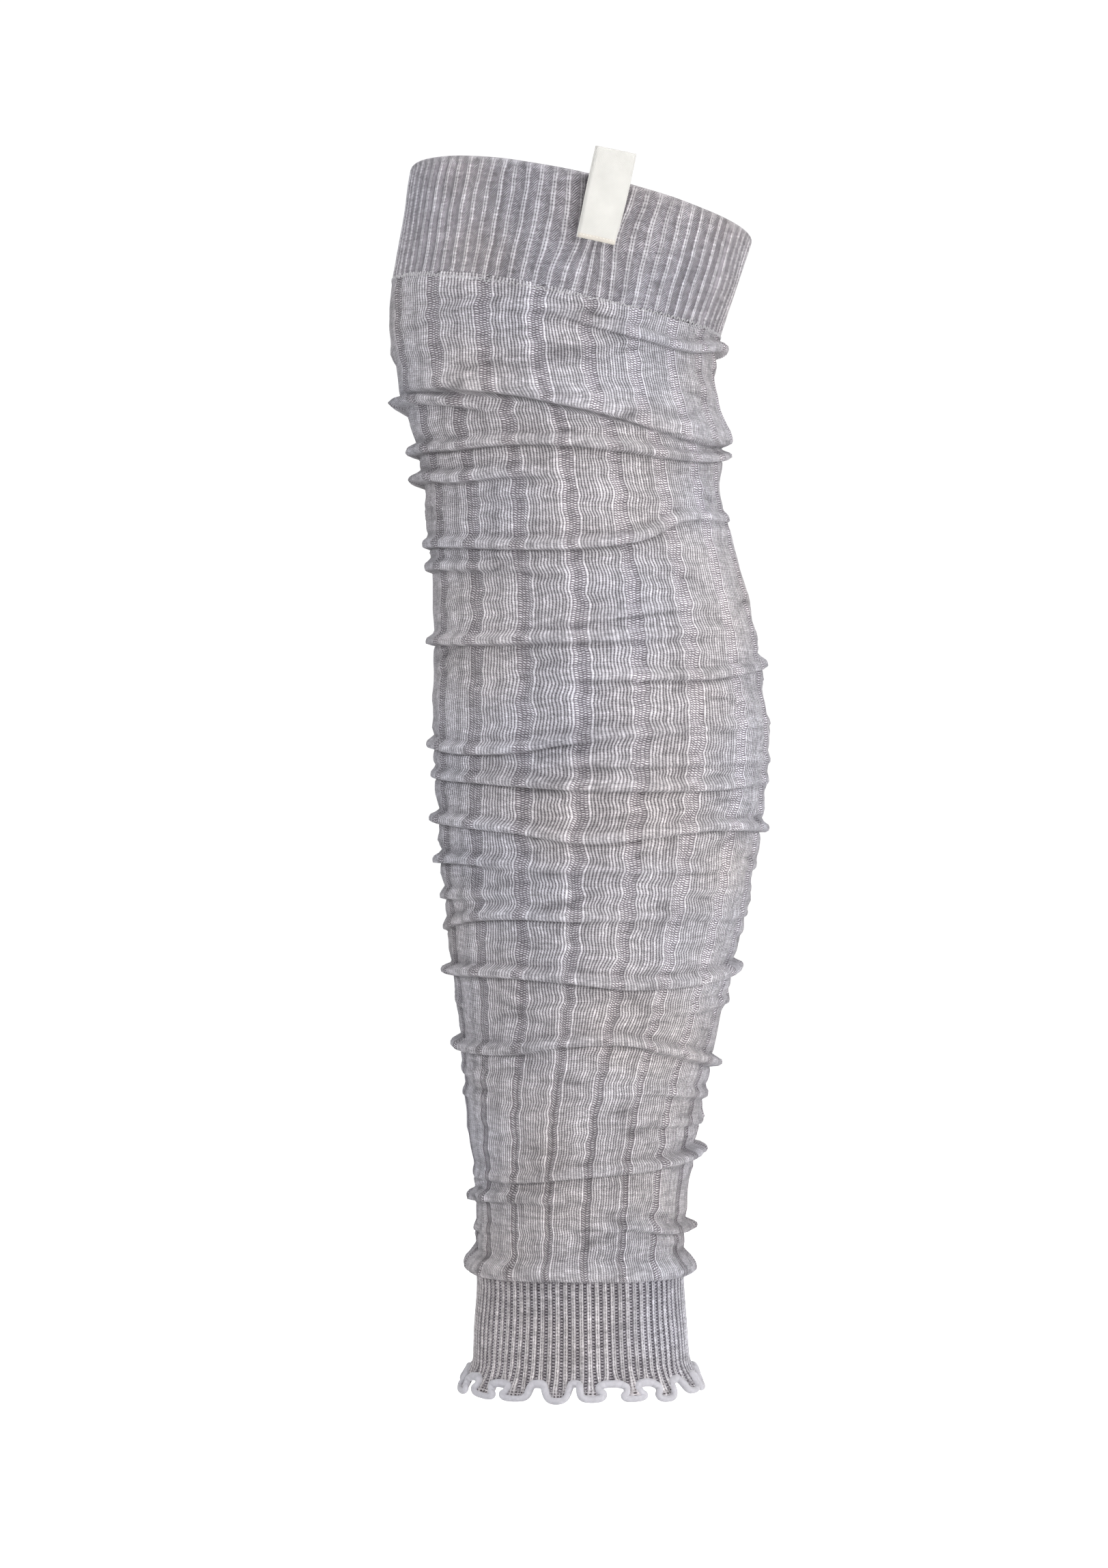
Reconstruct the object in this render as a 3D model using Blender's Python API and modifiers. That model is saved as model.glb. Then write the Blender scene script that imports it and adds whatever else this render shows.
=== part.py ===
"""One overknee leg warmer as it is worn: a knitted tube, open at both ends.

A ribbed thigh cuff, a wide-rib leg with its slouch folds, a ribbed ankle cuff that ends in a
ruffle, the overlocked edge of that ruffle, and a loop label sewn to the thigh cuff.

Metres, +Z up. The origin is the middle of the thigh cuff, where the thigh holds the garment up.
-X is the shin, +X the calf, -Y the outer side of the leg and +Y its inner side.
"""

import math
from collections import namedtuple

import bmesh
import bpy
import numpy as np

MM = 0.001
TURN = 2 * math.pi

# Knit
WALL = 1.3 * MM  # the cloth where it is thinnest, in a rib's furrow
RIB_RISE = 0.7 * MM  # how far a rib stands out of its furrow
SEAM_GAP = 0.3 * MM
WIDE_RIBS = 17  # round the leg
CUFF_RIBS = 80  # round each cuff
FURROW_SHARE = 0.27  # of a wide rib's pitch
FIRST_FURROW = 0.4  # how far round it lies, as a share of a wide rib's pitch
THIGH_FURROW_SHARE = 0.6  # of a cuff rib's pitch
EVEN_PITCH = 0.025  # evens out the ribs' spacing on the leg's oval, in radians

# The leg inside the cloth, as level ovals: height, shin and calf along X, width along Y, in mm
Section = namedtuple("Section", "height shin calf across")
SECTIONS = [
    Section(50, -57.5, 80, 129),
    Section(35, -61.5, 77, 128.5),
    Section(5, -67, 70, 126),
    Section(-26, -70.5, 60, 120),
    Section(-35, -70, 57, 117),
    Section(-47, -67.5, 55.5, 113),
    Section(-63, -63.5, 57.5, 108.5),
    Section(-80, -59, 58.5, 106),
    Section(-91, -57, 57.5, 105),
    Section(-108, -56, 61.5, 105),
    Section(-134, -53.5, 68.5, 108),
    Section(-166, -53.5, 74, 113),
    Section(-190, -53.5, 76.5, 115),
    Section(-214, -52, 74.5, 113),
    Section(-243, -50, 70, 107),
    Section(-272, -47, 63.5, 99),
    Section(-299, -43.5, 57, 91),
    Section(-331, -41, 50.5, 82),
    Section(-360, -37.5, 45.5, 74),
    Section(-386, -37, 43.5, 70),
    Section(-405, -37, 44, 70),
    Section(-433, -39, 46.5, 74),
    Section(-450, -40.5, 48, 76.5),
]

# Something that changes round the leg is given at these four places
Around = namedtuple("Around", "calf inner shin outer")
RIM = Around(calf=5, inner=18.5, shin=32.5, outer=19)
THIGH_SEAM = Around(calf=-33, inner=-21, shin=-11, outer=-24.5)
ANKLE_SEAM = Around(calf=-396.5, inner=-395.5, shin=-396.5, outer=-395)
HEM = Around(calf=-432, inner=-432, shin=-432, outer=-432.5)

# Slouch folds from the knee down: the crest's height, and how far it stands out, in mm
Fold = namedtuple("Fold", "height rise")
FOLDS = [
    Fold(Around(calf=-40.5, inner=-34, shin=-24, outer=-34), Around(calf=3.2, inner=2.0, shin=0.0, outer=1.6)),
    Fold(Around(calf=-71.5, inner=-64, shin=-57, outer=-66.5), Around(calf=5.0, inner=3.0, shin=5.2, outer=2.8)),
    Fold(Around(calf=-77, inner=-76.5, shin=-75.5, outer=-80), Around(calf=3.6, inner=2.6, shin=4.6, outer=3.2)),
    Fold(Around(calf=-90, inner=-92, shin=-88.5, outer=-91), Around(calf=0.0, inner=2.4, shin=5.2, outer=0.6)),
    Fold(Around(calf=-101, inner=-111, shin=-113.5, outer=-115), Around(calf=1.2, inner=2.6, shin=1.8, outer=3.2)),
    Fold(Around(calf=-122, inner=-127, shin=-121.5, outer=-126), Around(calf=0.0, inner=1.8, shin=3.2, outer=0.6)),
    Fold(Around(calf=-145, inner=-147, shin=-150, outer=-151), Around(calf=0.4, inner=2.2, shin=4.0, outer=2.4)),
    Fold(Around(calf=-158, inner=-161, shin=-163, outer=-166), Around(calf=2.0, inner=2.6, shin=0.0, outer=2.6)),
    Fold(Around(calf=-180, inner=-184, shin=-190.5, outer=-187), Around(calf=0.8, inner=2.0, shin=3.8, outer=3.4)),
    Fold(Around(calf=-196, inner=-196, shin=-198.5, outer=-198), Around(calf=1.6, inner=2.4, shin=0.4, outer=1.8)),
    Fold(Around(calf=-204, inner=-205, shin=-203, outer=-206.5), Around(calf=1.2, inner=1.6, shin=1.2, outer=2.6)),
    Fold(Around(calf=-221.5, inner=-222, shin=-219, outer=-225), Around(calf=2.4, inner=3.0, shin=4.4, outer=2.4)),
    Fold(Around(calf=-237, inner=-238, shin=-234.5, outer=-237), Around(calf=0.5, inner=1.8, shin=3.8, outer=1.0)),
    Fold(Around(calf=-256, inner=-257, shin=-257.5, outer=-254.5), Around(calf=1.8, inner=2.0, shin=1.6, outer=2.6)),
    Fold(Around(calf=-276, inner=-277, shin=-277, outer=-280), Around(calf=4.4, inner=3.6, shin=5.2, outer=4.2)),
    Fold(Around(calf=-313, inner=-304, shin=-305.5, outer=-301.5), Around(calf=3.8, inner=3.4, shin=4.0, outer=3.6)),
    Fold(Around(calf=-347, inner=-350, shin=-355.5, outer=-352), Around(calf=5.8, inner=3.0, shin=0.8, outer=3.6)),
    Fold(Around(calf=-377.5, inner=-368, shin=-364.5, outer=-365.5), Around(calf=5.8, inner=2.6, shin=4.8, outer=1.0)),
    Fold(Around(calf=-392, inner=-390.5, shin=-391.5, outer=-391), Around(calf=4.5, inner=4.0, shin=4.2, outer=4.5)),
]
FOLD_REACH_UP = 5.0 * MM  # from the crest to where the fold flattens out above it
FOLD_REACH_DOWN = 3.4 * MM
CREST_HALF = 0.9 * MM
BIG_RISE = 3.5 * MM  # a fold this high gets a blunt crest of two rings, a lower one gets one ring
SHARE_OF_GAP = 0.44  # how much of the gap to its neighbour a fold's foot may take
LONG_GAP = 13 * MM  # cloth between two folds gets a ring for each stretch this long

# Ruffle
RUFFLE_WAVES = 17
RUFFLE_FIRST_LOBE = math.radians(212.5)
RUFFLE_LENGTH = 8.5 * MM  # how far above the hem the waves begin
RUFFLE_OUT = 4.2 * MM
RUFFLE_DROP = 3.4 * MM
EDGE_RADIUS = 1.15 * MM
EDGE_GAP = 0.8 * MM  # from the hem to the cord that covers it
EDGE_POINTS_PER_WAVE = 9

# Loop label
LABEL_TURN = math.radians(278.6)
LABEL_WIDTH = 14.2 * MM
LABEL_FOOT = -6.1 * MM  # the sewn end's height
LABEL_TOP = 26.4 * MM
LABEL_SLANT = 0.185  # how much its rows drop towards the calf, square to its lean
LABEL_THICK = 1.0 * MM  # its two layers together
LABEL_LIFT = 1.4 * MM  # how far its free end stands off the cuff
LABEL_ROWS = 9
LABEL_COLUMNS = 5

INNER_POINTS_WIDE = 2 * WIDE_RIBS
INNER_POINTS_CUFF = CUFF_RIBS // 2
INNER_POINTS_RUFFLE = CUFF_RIBS
INNER_RINGS_LEG = 20


def column(name):
    """One column of the section table, in metres, with the lowest section first."""
    return np.array([getattr(section, name) for section in reversed(SECTIONS)]) * MM


SECTION_HEIGHTS = column("height")


def along_leg(values, height):
    """A section column at any height, on a smooth curve through the table's rows."""
    slopes = np.gradient(values, SECTION_HEIGHTS)
    below = np.clip(np.searchsorted(SECTION_HEIGHTS, height) - 1, 0, len(values) - 2)
    step = SECTION_HEIGHTS[below + 1] - SECTION_HEIGHTS[below]
    t = (height - SECTION_HEIGHTS[below]) / step
    return (
        (1 + 2 * t) * (1 - t) ** 2 * values[below]
        + t * (1 - t) ** 2 * step * slopes[below]
        + t**2 * (3 - 2 * t) * values[below + 1]
        + t**2 * (t - 1) * step * slopes[below + 1]
    )


def around_leg(places, turn):
    """A value in metres at each turn, on the smooth wave through its four places."""
    tilt = (places.calf - places.shin) / 2
    roll = (places.inner - places.outer) / 2
    bow = (places.calf + places.shin - places.inner - places.outer) / 4
    middle = sum(places) / 4
    return (middle + tilt * np.cos(turn) + roll * np.sin(turn) + bow * np.cos(2 * turn)) * MM


def on_leg(turn, height, outset):
    """Points on the leg's ovals, moved out by outset."""
    shin = along_leg(column("shin"), height)
    calf = along_leg(column("calf"), height)
    across = along_leg(column("across"), height)
    even = turn + EVEN_PITCH * np.sin(2 * turn)
    x = (shin + calf) / 2 + ((calf - shin) / 2 + outset) * np.cos(even)
    y = (across / 2 + outset) * np.sin(even)
    return np.stack([x, y, height], axis=-1)


def slouch(turn, height):
    """How far the folds lift the cloth at these points."""
    lift = np.zeros_like(height)
    for fold in FOLDS:
        above = height - around_leg(fold.height, turn)
        reach = np.where(above > 0, FOLD_REACH_UP, FOLD_REACH_DOWN)
        shape = np.clip(1 - (above / reach) ** 2, 0, 1) ** 2
        lift = np.maximum(lift, around_leg(fold.rise, turn) * shape)
    return lift


def rib_turns(ribs, shares):
    """Turns at the given shares of each rib's pitch."""
    return TURN * (np.arange(ribs)[:, None] + np.array(shares)).ravel() / ribs


def new_mesh_object(name, bm, colour, roughness):
    mesh = bpy.data.meshes.new(name)
    bm.to_mesh(mesh)
    bm.free()
    obj = bpy.data.objects.new(name, mesh)
    return finish_object(obj, colour, roughness)


def finish_object(obj, colour, roughness):
    """Puts the object in the collection and gives it its own yarn or ribbon."""
    material = bpy.data.materials.new(obj.name)
    material.use_nodes = True
    shader = material.node_tree.nodes["Principled BSDF"]
    shader.inputs["Base Color"].default_value = (*colour, 1)
    shader.inputs["Roughness"].default_value = roughness
    shader.inputs["Metallic"].default_value = 0
    obj.data.materials.append(material)
    collection.objects.link(obj)
    return obj


def zip_rims(bm, first, second):
    """Fills between two closed rings with different counts, stepping along the one that lags."""
    i = j = 0
    while i < len(first) or j < len(second):
        a, b = first[i % len(first)], second[j % len(second)]
        if (i + 1) * len(second) <= (j + 1) * len(first):
            bm.faces.new((a, first[(i + 1) % len(first)], b))
            i += 1
        else:
            bm.faces.new((a, second[(j + 1) % len(second)], b))
            j += 1


def cloth_wall(name, outer_rings, inner_rings, colour, roughness=0.95):
    """A closed wall of cloth from its outer and inner rings, both given from the top down."""
    bm = bmesh.new()
    rims = []
    for rings in (outer_rings, inner_rings):
        rows = [[bm.verts.new(point) for point in ring] for ring in rings]
        for upper, lower in zip(rows, rows[1:]):
            for k in range(len(upper)):
                after = (k + 1) % len(upper)
                bm.faces.new((upper[k], upper[after], lower[after], lower[k]))
        rims.append((rows[0], rows[-1]))
    for outer_rim, inner_rim in zip(*rims):
        zip_rims(bm, outer_rim, inner_rim)
    bmesh.ops.recalc_face_normals(bm, faces=bm.faces)
    obj = new_mesh_object(name, bm, colour, roughness)
    obj.data.shade_smooth()
    obj.data.set_sharp_from_angle(angle=math.radians(50))
    return obj


def fold_ring_heights(turn, top, bottom):
    """Heights of the leg's outer rings, which run along the folds' feet and crests."""
    crests = [around_leg(fold.height, turn) for fold in FOLDS]
    neighbours = [top, *crests, bottom]
    heights = [top]
    for fold, above, crest, below in zip(FOLDS, neighbours, crests, neighbours[2:]):
        head = crest + np.minimum(FOLD_REACH_UP, SHARE_OF_GAP * (above - crest))
        foot = crest - np.minimum(FOLD_REACH_DOWN, SHARE_OF_GAP * (crest - below))
        heights += rings_between(heights[-1], head)
        heights.append(head)
        if max(fold.rise) * MM >= BIG_RISE:
            blunt = np.minimum(CREST_HALF, (crest - foot) / 2)
            heights += [crest + blunt, crest - blunt]
        else:
            heights.append(crest)
        heights.append(foot)
    return [*heights, bottom]


def rings_between(upper, lower):
    """Extra rings on a long stretch of plain cloth."""
    count = int(np.mean(upper - lower) // LONG_GAP)
    return [upper + (lower - upper) * k / (count + 1) for k in range(1, count + 1)]


def wide_rib_leg():
    top = THIGH_SEAM
    edges = np.array([0, FURROW_SHARE / 2, 1 - FURROW_SHARE / 2])
    turn = rib_turns(WIDE_RIBS, edges + FIRST_FURROW)
    relief = np.tile([-RIB_RISE, 0, 0], WIDE_RIBS)
    heights = fold_ring_heights(turn, around_leg(top, turn), around_leg(ANKLE_SEAM, turn))
    outer = [on_leg(turn, height, relief + slouch(turn, height)) for height in heights]

    turn = rib_turns(INNER_POINTS_WIDE, [0])
    inset = -(WALL + RIB_RISE)
    upper, lower = around_leg(top, turn), around_leg(ANKLE_SEAM, turn)
    steps = np.linspace(0, 1, INNER_RINGS_LEG)
    inner = [on_leg(turn, upper + (lower - upper) * step, inset) for step in steps]
    return cloth_wall("leg_tube", outer, inner, GREY_YARN)


def thigh_cuff():
    """The turned top band: narrow ribs over wide furrows, with a rounded rim."""
    half = THIGH_FURROW_SHARE / 2
    turn = rib_turns(CUFF_RIBS, [0, 0.5 - half, 0.5 + half])
    relief = np.tile([0, -RIB_RISE, -RIB_RISE], CUFF_RIBS)
    foot = around_leg(THIGH_SEAM, turn) + SEAM_GAP
    rim = around_leg(RIM, turn)
    # share of the band's height, and how far the ribs still stand out there
    outer = [
        on_leg(turn, foot + (rim - foot) * share, relief * stand - tuck)
        for share, stand, tuck in (
            (1.0, 0, 0.5 * WALL + RIB_RISE),
            (0.98, 1, 0),
            (0.66, 1, 0),
            (0.33, 1, 0),
            (0.0, 1, 0),
        )
    ]
    turn = rib_turns(INNER_POINTS_CUFF, [0])
    foot, rim = around_leg(THIGH_SEAM, turn) + SEAM_GAP, around_leg(RIM, turn)
    inner = [
        on_leg(turn, foot + (rim - foot) * share, -(WALL + RIB_RISE))
        for share in (0.985, 0.66, 0.33, 0.0)
    ]
    return cloth_wall("thigh_cuff", outer, inner, GREY_YARN)


def ruffled(turn, below, outset):
    """Points of the ankle cuff, below metres under its seam, with the hem's waves in them."""
    seam, hem = around_leg(ANKLE_SEAM, turn) - SEAM_GAP, around_leg(HEM, turn)
    height = seam + (hem - seam) * below
    strength = np.clip(1 - (height - hem) / RUFFLE_LENGTH, 0, 1) ** 2
    wave = np.cos(RUFFLE_WAVES * (turn - RUFFLE_FIRST_LOBE)) * strength
    return on_leg(turn, height - RUFFLE_DROP * wave, outset + RUFFLE_OUT * wave)


RUFFLE_ROWS = (0, 0.36, 0.7, 0.84, 0.93, 1.0)  # shares of the ankle cuff's length


def ankle_cuff():
    turn = rib_turns(CUFF_RIBS, [0, 0.5])
    relief = np.tile([0, -RIB_RISE], CUFF_RIBS)
    outer = [ruffled(turn, row, relief) for row in RUFFLE_ROWS]
    turn = rib_turns(INNER_POINTS_RUFFLE, [0])
    inner = [ruffled(turn, row, -(WALL + RIB_RISE)) for row in RUFFLE_ROWS]
    return cloth_wall("ankle_cuff", outer, inner, GREY_YARN)


def overlocked_edge():
    """The thread that covers the ruffle's raw edge, as a round cord just under it."""
    count = RUFFLE_WAVES * EDGE_POINTS_PER_WAVE
    turn = rib_turns(count, [0])
    inner, outer = ruffled(turn, 1.0, -(WALL + RIB_RISE)), ruffled(turn, 1.0, 0)
    edge = (inner + outer) / 2
    tangent = np.roll(edge, -1, axis=0) - np.roll(edge, 1, axis=0)
    down = np.cross(outer - inner, tangent)
    down *= -np.sign(down[:, 2:]) / np.linalg.norm(down, axis=1)[:, None]
    centre = edge + down * (EDGE_RADIUS + EDGE_GAP)

    curve = bpy.data.curves.new("overlocked_edge", "CURVE")
    curve.dimensions = "3D"
    curve.bevel_depth = EDGE_RADIUS
    curve.bevel_resolution = 1
    curve.use_fill_caps = True
    spline = curve.splines.new("POLY")
    spline.points.add(count - 1)
    for point, place in zip(spline.points, centre):
        point.co = (*place, 1)
    spline.use_cyclic_u = True
    return finish_object(bpy.data.objects.new("overlocked_edge", curve), PALE_THREAD, 0.85)


def loop_label():
    """A ribbon folded in two and sewn on at its foot: the cuff's own points, moved out."""
    along = np.linspace(-0.5, 0.5, LABEL_COLUMNS) * LABEL_WIDTH
    radius = -on_leg(np.array([LABEL_TURN]), np.zeros(1), 0)[0, 1]
    bm = bmesh.new()
    rows = []
    for share in np.linspace(0, 1, LABEL_ROWS):
        height = LABEL_FOOT + (LABEL_TOP - LABEL_FOOT) * share - LABEL_SLANT * along
        points = on_leg(LABEL_TURN + along / radius, height, SEAM_GAP + LABEL_LIFT * share**2)
        rows.append([bm.verts.new(point) for point in points])
    for lower, upper in zip(rows, rows[1:]):
        for k in range(LABEL_COLUMNS - 1):
            bm.faces.new((lower[k], lower[k + 1], upper[k + 1], upper[k]))
    obj = new_mesh_object("loop_label", bm, IVORY_RIBBON, 0.6)
    thick = obj.modifiers.new("two layers", "SOLIDIFY")
    thick.thickness = LABEL_THICK
    thick.offset = 1
    return obj


GREY_YARN = (0.42, 0.41, 0.43)
PALE_THREAD = (0.60, 0.59, 0.62)
IVORY_RIBBON = (0.86, 0.85, 0.80)

for old in list(bpy.data.objects):
    bpy.data.objects.remove(old)
collection = bpy.data.collections.new("leg_warmer")
bpy.context.scene.collection.children.link(collection)

thigh_cuff()
wide_rib_leg()
ankle_cuff()
overlocked_edge()
loop_label()
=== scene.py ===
import math

import bpy
import numpy as np
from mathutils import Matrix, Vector


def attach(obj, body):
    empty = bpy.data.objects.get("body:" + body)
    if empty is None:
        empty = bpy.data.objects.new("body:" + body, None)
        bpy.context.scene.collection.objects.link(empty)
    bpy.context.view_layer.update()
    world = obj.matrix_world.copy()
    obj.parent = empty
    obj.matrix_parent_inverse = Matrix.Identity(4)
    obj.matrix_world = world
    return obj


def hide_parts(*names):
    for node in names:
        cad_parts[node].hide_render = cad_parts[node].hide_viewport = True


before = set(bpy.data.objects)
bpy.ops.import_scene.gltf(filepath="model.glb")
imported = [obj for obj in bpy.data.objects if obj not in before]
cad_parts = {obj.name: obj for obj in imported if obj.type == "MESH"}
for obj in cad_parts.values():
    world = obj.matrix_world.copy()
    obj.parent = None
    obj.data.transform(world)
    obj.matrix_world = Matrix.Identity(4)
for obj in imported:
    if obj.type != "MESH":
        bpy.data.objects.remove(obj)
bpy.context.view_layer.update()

# One slouched leg warmer as it is worn. Shapes are worked out in millimetres and scaled at the end.
# x runs from the shin to the calf, y from the outer to the inner side, z up the leg.
# A turn of 0 is the calf, a quarter is the inner side, a half the shin and three quarters the outer side.

mm = 0.001
fullTurn = 2 * math.pi
scene = bpy.context.scene


class Wire:
    # a value on its way through a shader, so that math nodes are written as sums
    def __init__(self, socket):
        self.socket = socket

    def __add__(self, other):
        return calc("ADD", self, other)

    def __sub__(self, other):
        return calc("SUBTRACT", self, other)

    def __rsub__(self, other):
        return calc("SUBTRACT", other, self)

    def __mul__(self, other):
        return calc("MULTIPLY", self, other)

    def __truediv__(self, other):
        return calc("DIVIDE", self, other)

    def __pow__(self, other):
        return calc("POWER", self, other)

    def __mod__(self, other):
        return calc("FLOORED_MODULO", self, other)

    def __abs__(self):
        return calc("ABSOLUTE", self)

    __radd__ = __add__


def addNode(tree, kind, output, inputs=(), **settings):
    # a shader node with its sockets set or wired, given back as the wire out of it
    node = tree.nodes.new("ShaderNode" + kind)
    for name, value in settings.items():
        setattr(node, name, value)
    for name, value in dict(inputs).items():
        if isinstance(value, Wire):
            tree.links.new(value.socket, node.inputs[name])
        else:
            node.inputs[name].default_value = value
    return Wire(node.outputs[output])


def calc(operation, *values, clamp=False):
    tree = next(value.socket.id_data for value in values if isinstance(value, Wire))
    return addNode(tree, "Math", 0, enumerate(values), operation=operation, use_clamp=clamp)


def hump(value):
    # up and down again from each whole number to the next
    return calc("SINE", calc("FRACT", value) * math.pi)


def cameraOrNot(tree, seen, unseen):
    # one number for what the camera sees and another for the light that falls on things
    ray = addNode(tree, "LightPath", "Is Camera Ray")
    return addNode(tree, "MapRange", "Result", {"Value": ray, "To Min": unseen, "To Max": seen})


def newMaterial(name):
    material = bpy.data.materials.new(name)
    material.use_nodes = True
    return material, material.node_tree, material.node_tree.nodes["Principled BSDF"].inputs


print("camera and light")

studio = {
    "cameraPlace": (-0.0068, -1.166, -0.2056),
    "lens": 69.0,
    "sensor": 36,
    "farthest": 40,
    "air": 0.32,
    "seenAir": 1.05,
    "floorHeight": -0.62,
    "floorReach": 30,
    "floorGlow": 0.8,
    "paper": {"Base Color": (0.92, 0.92, 0.92, 1), "Roughness": 0.9, "Emission Color": (1, 1, 1, 1)},
    "lightSize": 0.7,
    "aim": (0, 0, -0.2),
    "lights": [
        # name, place, power, colour
        ("top light", (0.1, -0.6, 1.1), 10.0, (1, 0.99, 0.98)),
        ("front light", (0.15, -1.6, -0.25), 10.0, (1, 0.992, 0.985)),
        ("right light", (1.4, -0.45, -0.45), 14.0, (1, 0.995, 0.985)),
        ("left light", (-1.3, -0.6, 0.35), 5.4, (0.955, 0.975, 1)),
        ("back light", (-0.2, 1.6, 0.2), 6.0, (1, 1, 1)),
    ],
}

camera = bpy.data.cameras.new("camera")
camera.lens = studio["lens"]
camera.sensor_width = studio["sensor"]
camera.clip_end = studio["farthest"]
cameraObject = bpy.data.objects.new("camera", camera)
cameraObject.location = studio["cameraPlace"]
cameraObject.rotation_euler = (math.radians(90), 0, 0)
scene.collection.objects.link(cameraObject)
scene.camera = cameraObject
scene.view_settings.view_transform = "Standard"
scene.view_settings.look = "None"

world = bpy.data.worlds.new("studio air")
scene.world = world
world.use_nodes = True
airTree = world.node_tree
air = airTree.nodes["Background"].inputs
air["Color"].default_value = (1, 1, 1, 1)
airTree.links.new(cameraOrNot(airTree, studio["seenAir"], studio["air"]).socket, air["Strength"])

for name, place, power, colour in studio["lights"]:
    light = bpy.data.lights.new(name, "AREA")
    light.shape = "DISK"
    light.size = studio["lightSize"]
    light.energy = power
    light.color = colour
    lamp = bpy.data.objects.new(name, light)
    lamp.location = place
    lamp.rotation_euler = (Vector(studio["aim"]) - Vector(place)).to_track_quat("-Z", "Y").to_euler()
    scene.collection.objects.link(lamp)

reach = studio["floorReach"]
floorMesh = bpy.data.meshes.new("floor")
floorCorners = [(-reach, -reach, 0), (reach, -reach, 0), (reach, reach, 0), (-reach, reach, 0)]
floorMesh.from_pydata(floorCorners, [], [(0, 1, 2, 3)])
floor = bpy.data.objects.new("floor", floorMesh)
floor.location.z = studio["floorHeight"]
scene.collection.objects.link(floor)
paper, paperTree, paperShader = newMaterial("white paper")
for name, value in studio["paper"].items():
    paperShader[name].default_value = value
paperTree.links.new(cameraOrNot(paperTree, studio["floorGlow"], 0).socket, paperShader["Emission Strength"])
floorMesh.materials.append(paper)

print("leg form")

# height, shin, calf and across of the leg inside the cloth, lowest first
legOvals = np.array([
    (-450, -40.5, 48, 76.5), (-433, -39, 46.5, 74), (-405, -37, 44, 70), (-386, -37, 43.5, 70),
    (-360, -37.5, 45.5, 74), (-331, -41, 50.5, 82), (-299, -43.5, 57, 91), (-272, -47, 63.5, 99),
    (-243, -50, 70, 107), (-214, -52, 74.5, 113), (-190, -53.5, 76.5, 115), (-166, -53.5, 74, 113),
    (-134, -53.5, 68.5, 108), (-108, -56, 61.5, 105), (-91, -57, 57.5, 105), (-80, -59, 58.5, 106),
    (-63, -63.5, 57.5, 108.5), (-47, -67.5, 55.5, 113), (-35, -70, 57, 117), (-26, -70.5, 60, 120),
    (5, -67, 70, 126), (35, -61.5, 77, 128.5), (50, -57.5, 80, 129),
], dtype=float)
ovalLean = 0.025  # radians, how much flatter the leg is than an oval at its sides

# heights at the calf, inner side, shin and outer side
rimHeights = (5, 18.5, 32.5, 19)
thighSeamHeights = (-33, -21, -11, -24.5)
ankleSeamHeights = (-394.5, -393.5, -394.5, -393)
hemHeights = (-434.5, -432.5, -435, -433)
seamGap = 0.3
thighRadius = 64  # mm of cloth to a radian round the thigh cuff


def bell(distance):
    return np.exp(-(distance**2))


def evenTurns(count):
    return np.arange(count) / count * fullTurn


def smoothCurve(knots, values, at):
    slopes = np.gradient(values, knots)
    k = np.clip(np.searchsorted(knots, at) - 1, 0, len(knots) - 2)
    step = knots[k + 1] - knots[k]
    t = (at - knots[k]) / step
    return (
        (1 + 2 * t) * (1 - t) ** 2 * values[k]
        + t * (1 - t) ** 2 * step * slopes[k]
        + t**2 * (3 - 2 * t) * values[k + 1]
        + t**2 * (t - 1) * step * slopes[k + 1]
    )


def roundCurve(turns, values, at):
    # the same, but it closes on itself after a full turn
    knots = np.concatenate([turns - fullTurn, turns, turns + fullTurn])
    return smoothCurve(knots, np.tile(np.array(values, float), 3), np.mod(at, fullTurn))


def aroundLeg(places, turn):
    # an edge's height at a turn, from its heights at the four sides
    calf, inner, shin, outer = places
    middle = (calf + inner + shin + outer) / 4
    bow = (calf + shin - inner - outer) / 4
    back, inward = (calf - shin) / 2, (inner - outer) / 2
    return middle + back * np.cos(turn) + inward * np.sin(turn) + bow * np.cos(2 * turn)


def onLeg(turn, height, out):
    shin, calf, across = (smoothCurve(legOvals[:, 0], legOvals[:, k], height) for k in (1, 2, 3))
    even = turn + ovalLean * np.sin(2 * turn)
    x = (shin + calf) / 2 + ((calf - shin) / 2 + out) * np.cos(even)
    y = (across / 2 + out) * np.sin(even)
    return np.stack([x, y, height + 0 * x], axis=-1)


def ripples(turn, height, waves, seed, each=7):
    # soft irregular waves: each is (turns round, shortest and longest height, size)
    dice = np.random.default_rng(seed)
    total = np.zeros(np.broadcast(turn, height).shape)
    for most, shortest, longest, size in waves:
        for _ in range(each):
            count = dice.integers(1, most + 1) * dice.choice((-1, 1))
            length = dice.uniform(shortest, longest)
            phase = dice.uniform(0, fullTurn)
            total = total + size * np.sin(count * turn + fullTurn * height / length + phase)
    return total / math.sqrt(each)


def ringRipples(turn, most, size, seed):
    # the same round one ring, where the heights don't matter
    return ripples(turn, 0.0, [(most, 10, 20, size)], seed)


def ribColumns(ribs, shares, stitches):
    # turns of the columns, and how many stitches round each one is
    turns = (np.arange(ribs)[:, None] + np.array(shares)).ravel() / ribs * fullTurn
    count = (np.arange(ribs)[:, None] * stitches[-1] + np.array(stitches[:-1])).ravel()
    return turns, count


def stitchCount(points, height):
    # courses down each column, from the cloth's own length
    steps = np.linalg.norm(np.diff(points, axis=0), axis=2)
    return np.concatenate([np.zeros((1, points.shape[1])), np.cumsum(steps, axis=0)]) / height


def gridQuads(rows, columns, closed=(False, True), order=(0, 1, 2, 3)):
    # the quads of a grid of points, and the row and column of each corner
    steps = np.array(((0, 0), (0, 1), (1, 1), (1, 0)))[list(order)]
    row, column = np.indices((rows - 1 + closed[0], columns - 1 + closed[1])).reshape(2, -1, 1)
    row, column = row + steps[:, 0], column + steps[:, 1]
    return row % rows * columns + column % columns, row, column


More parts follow.
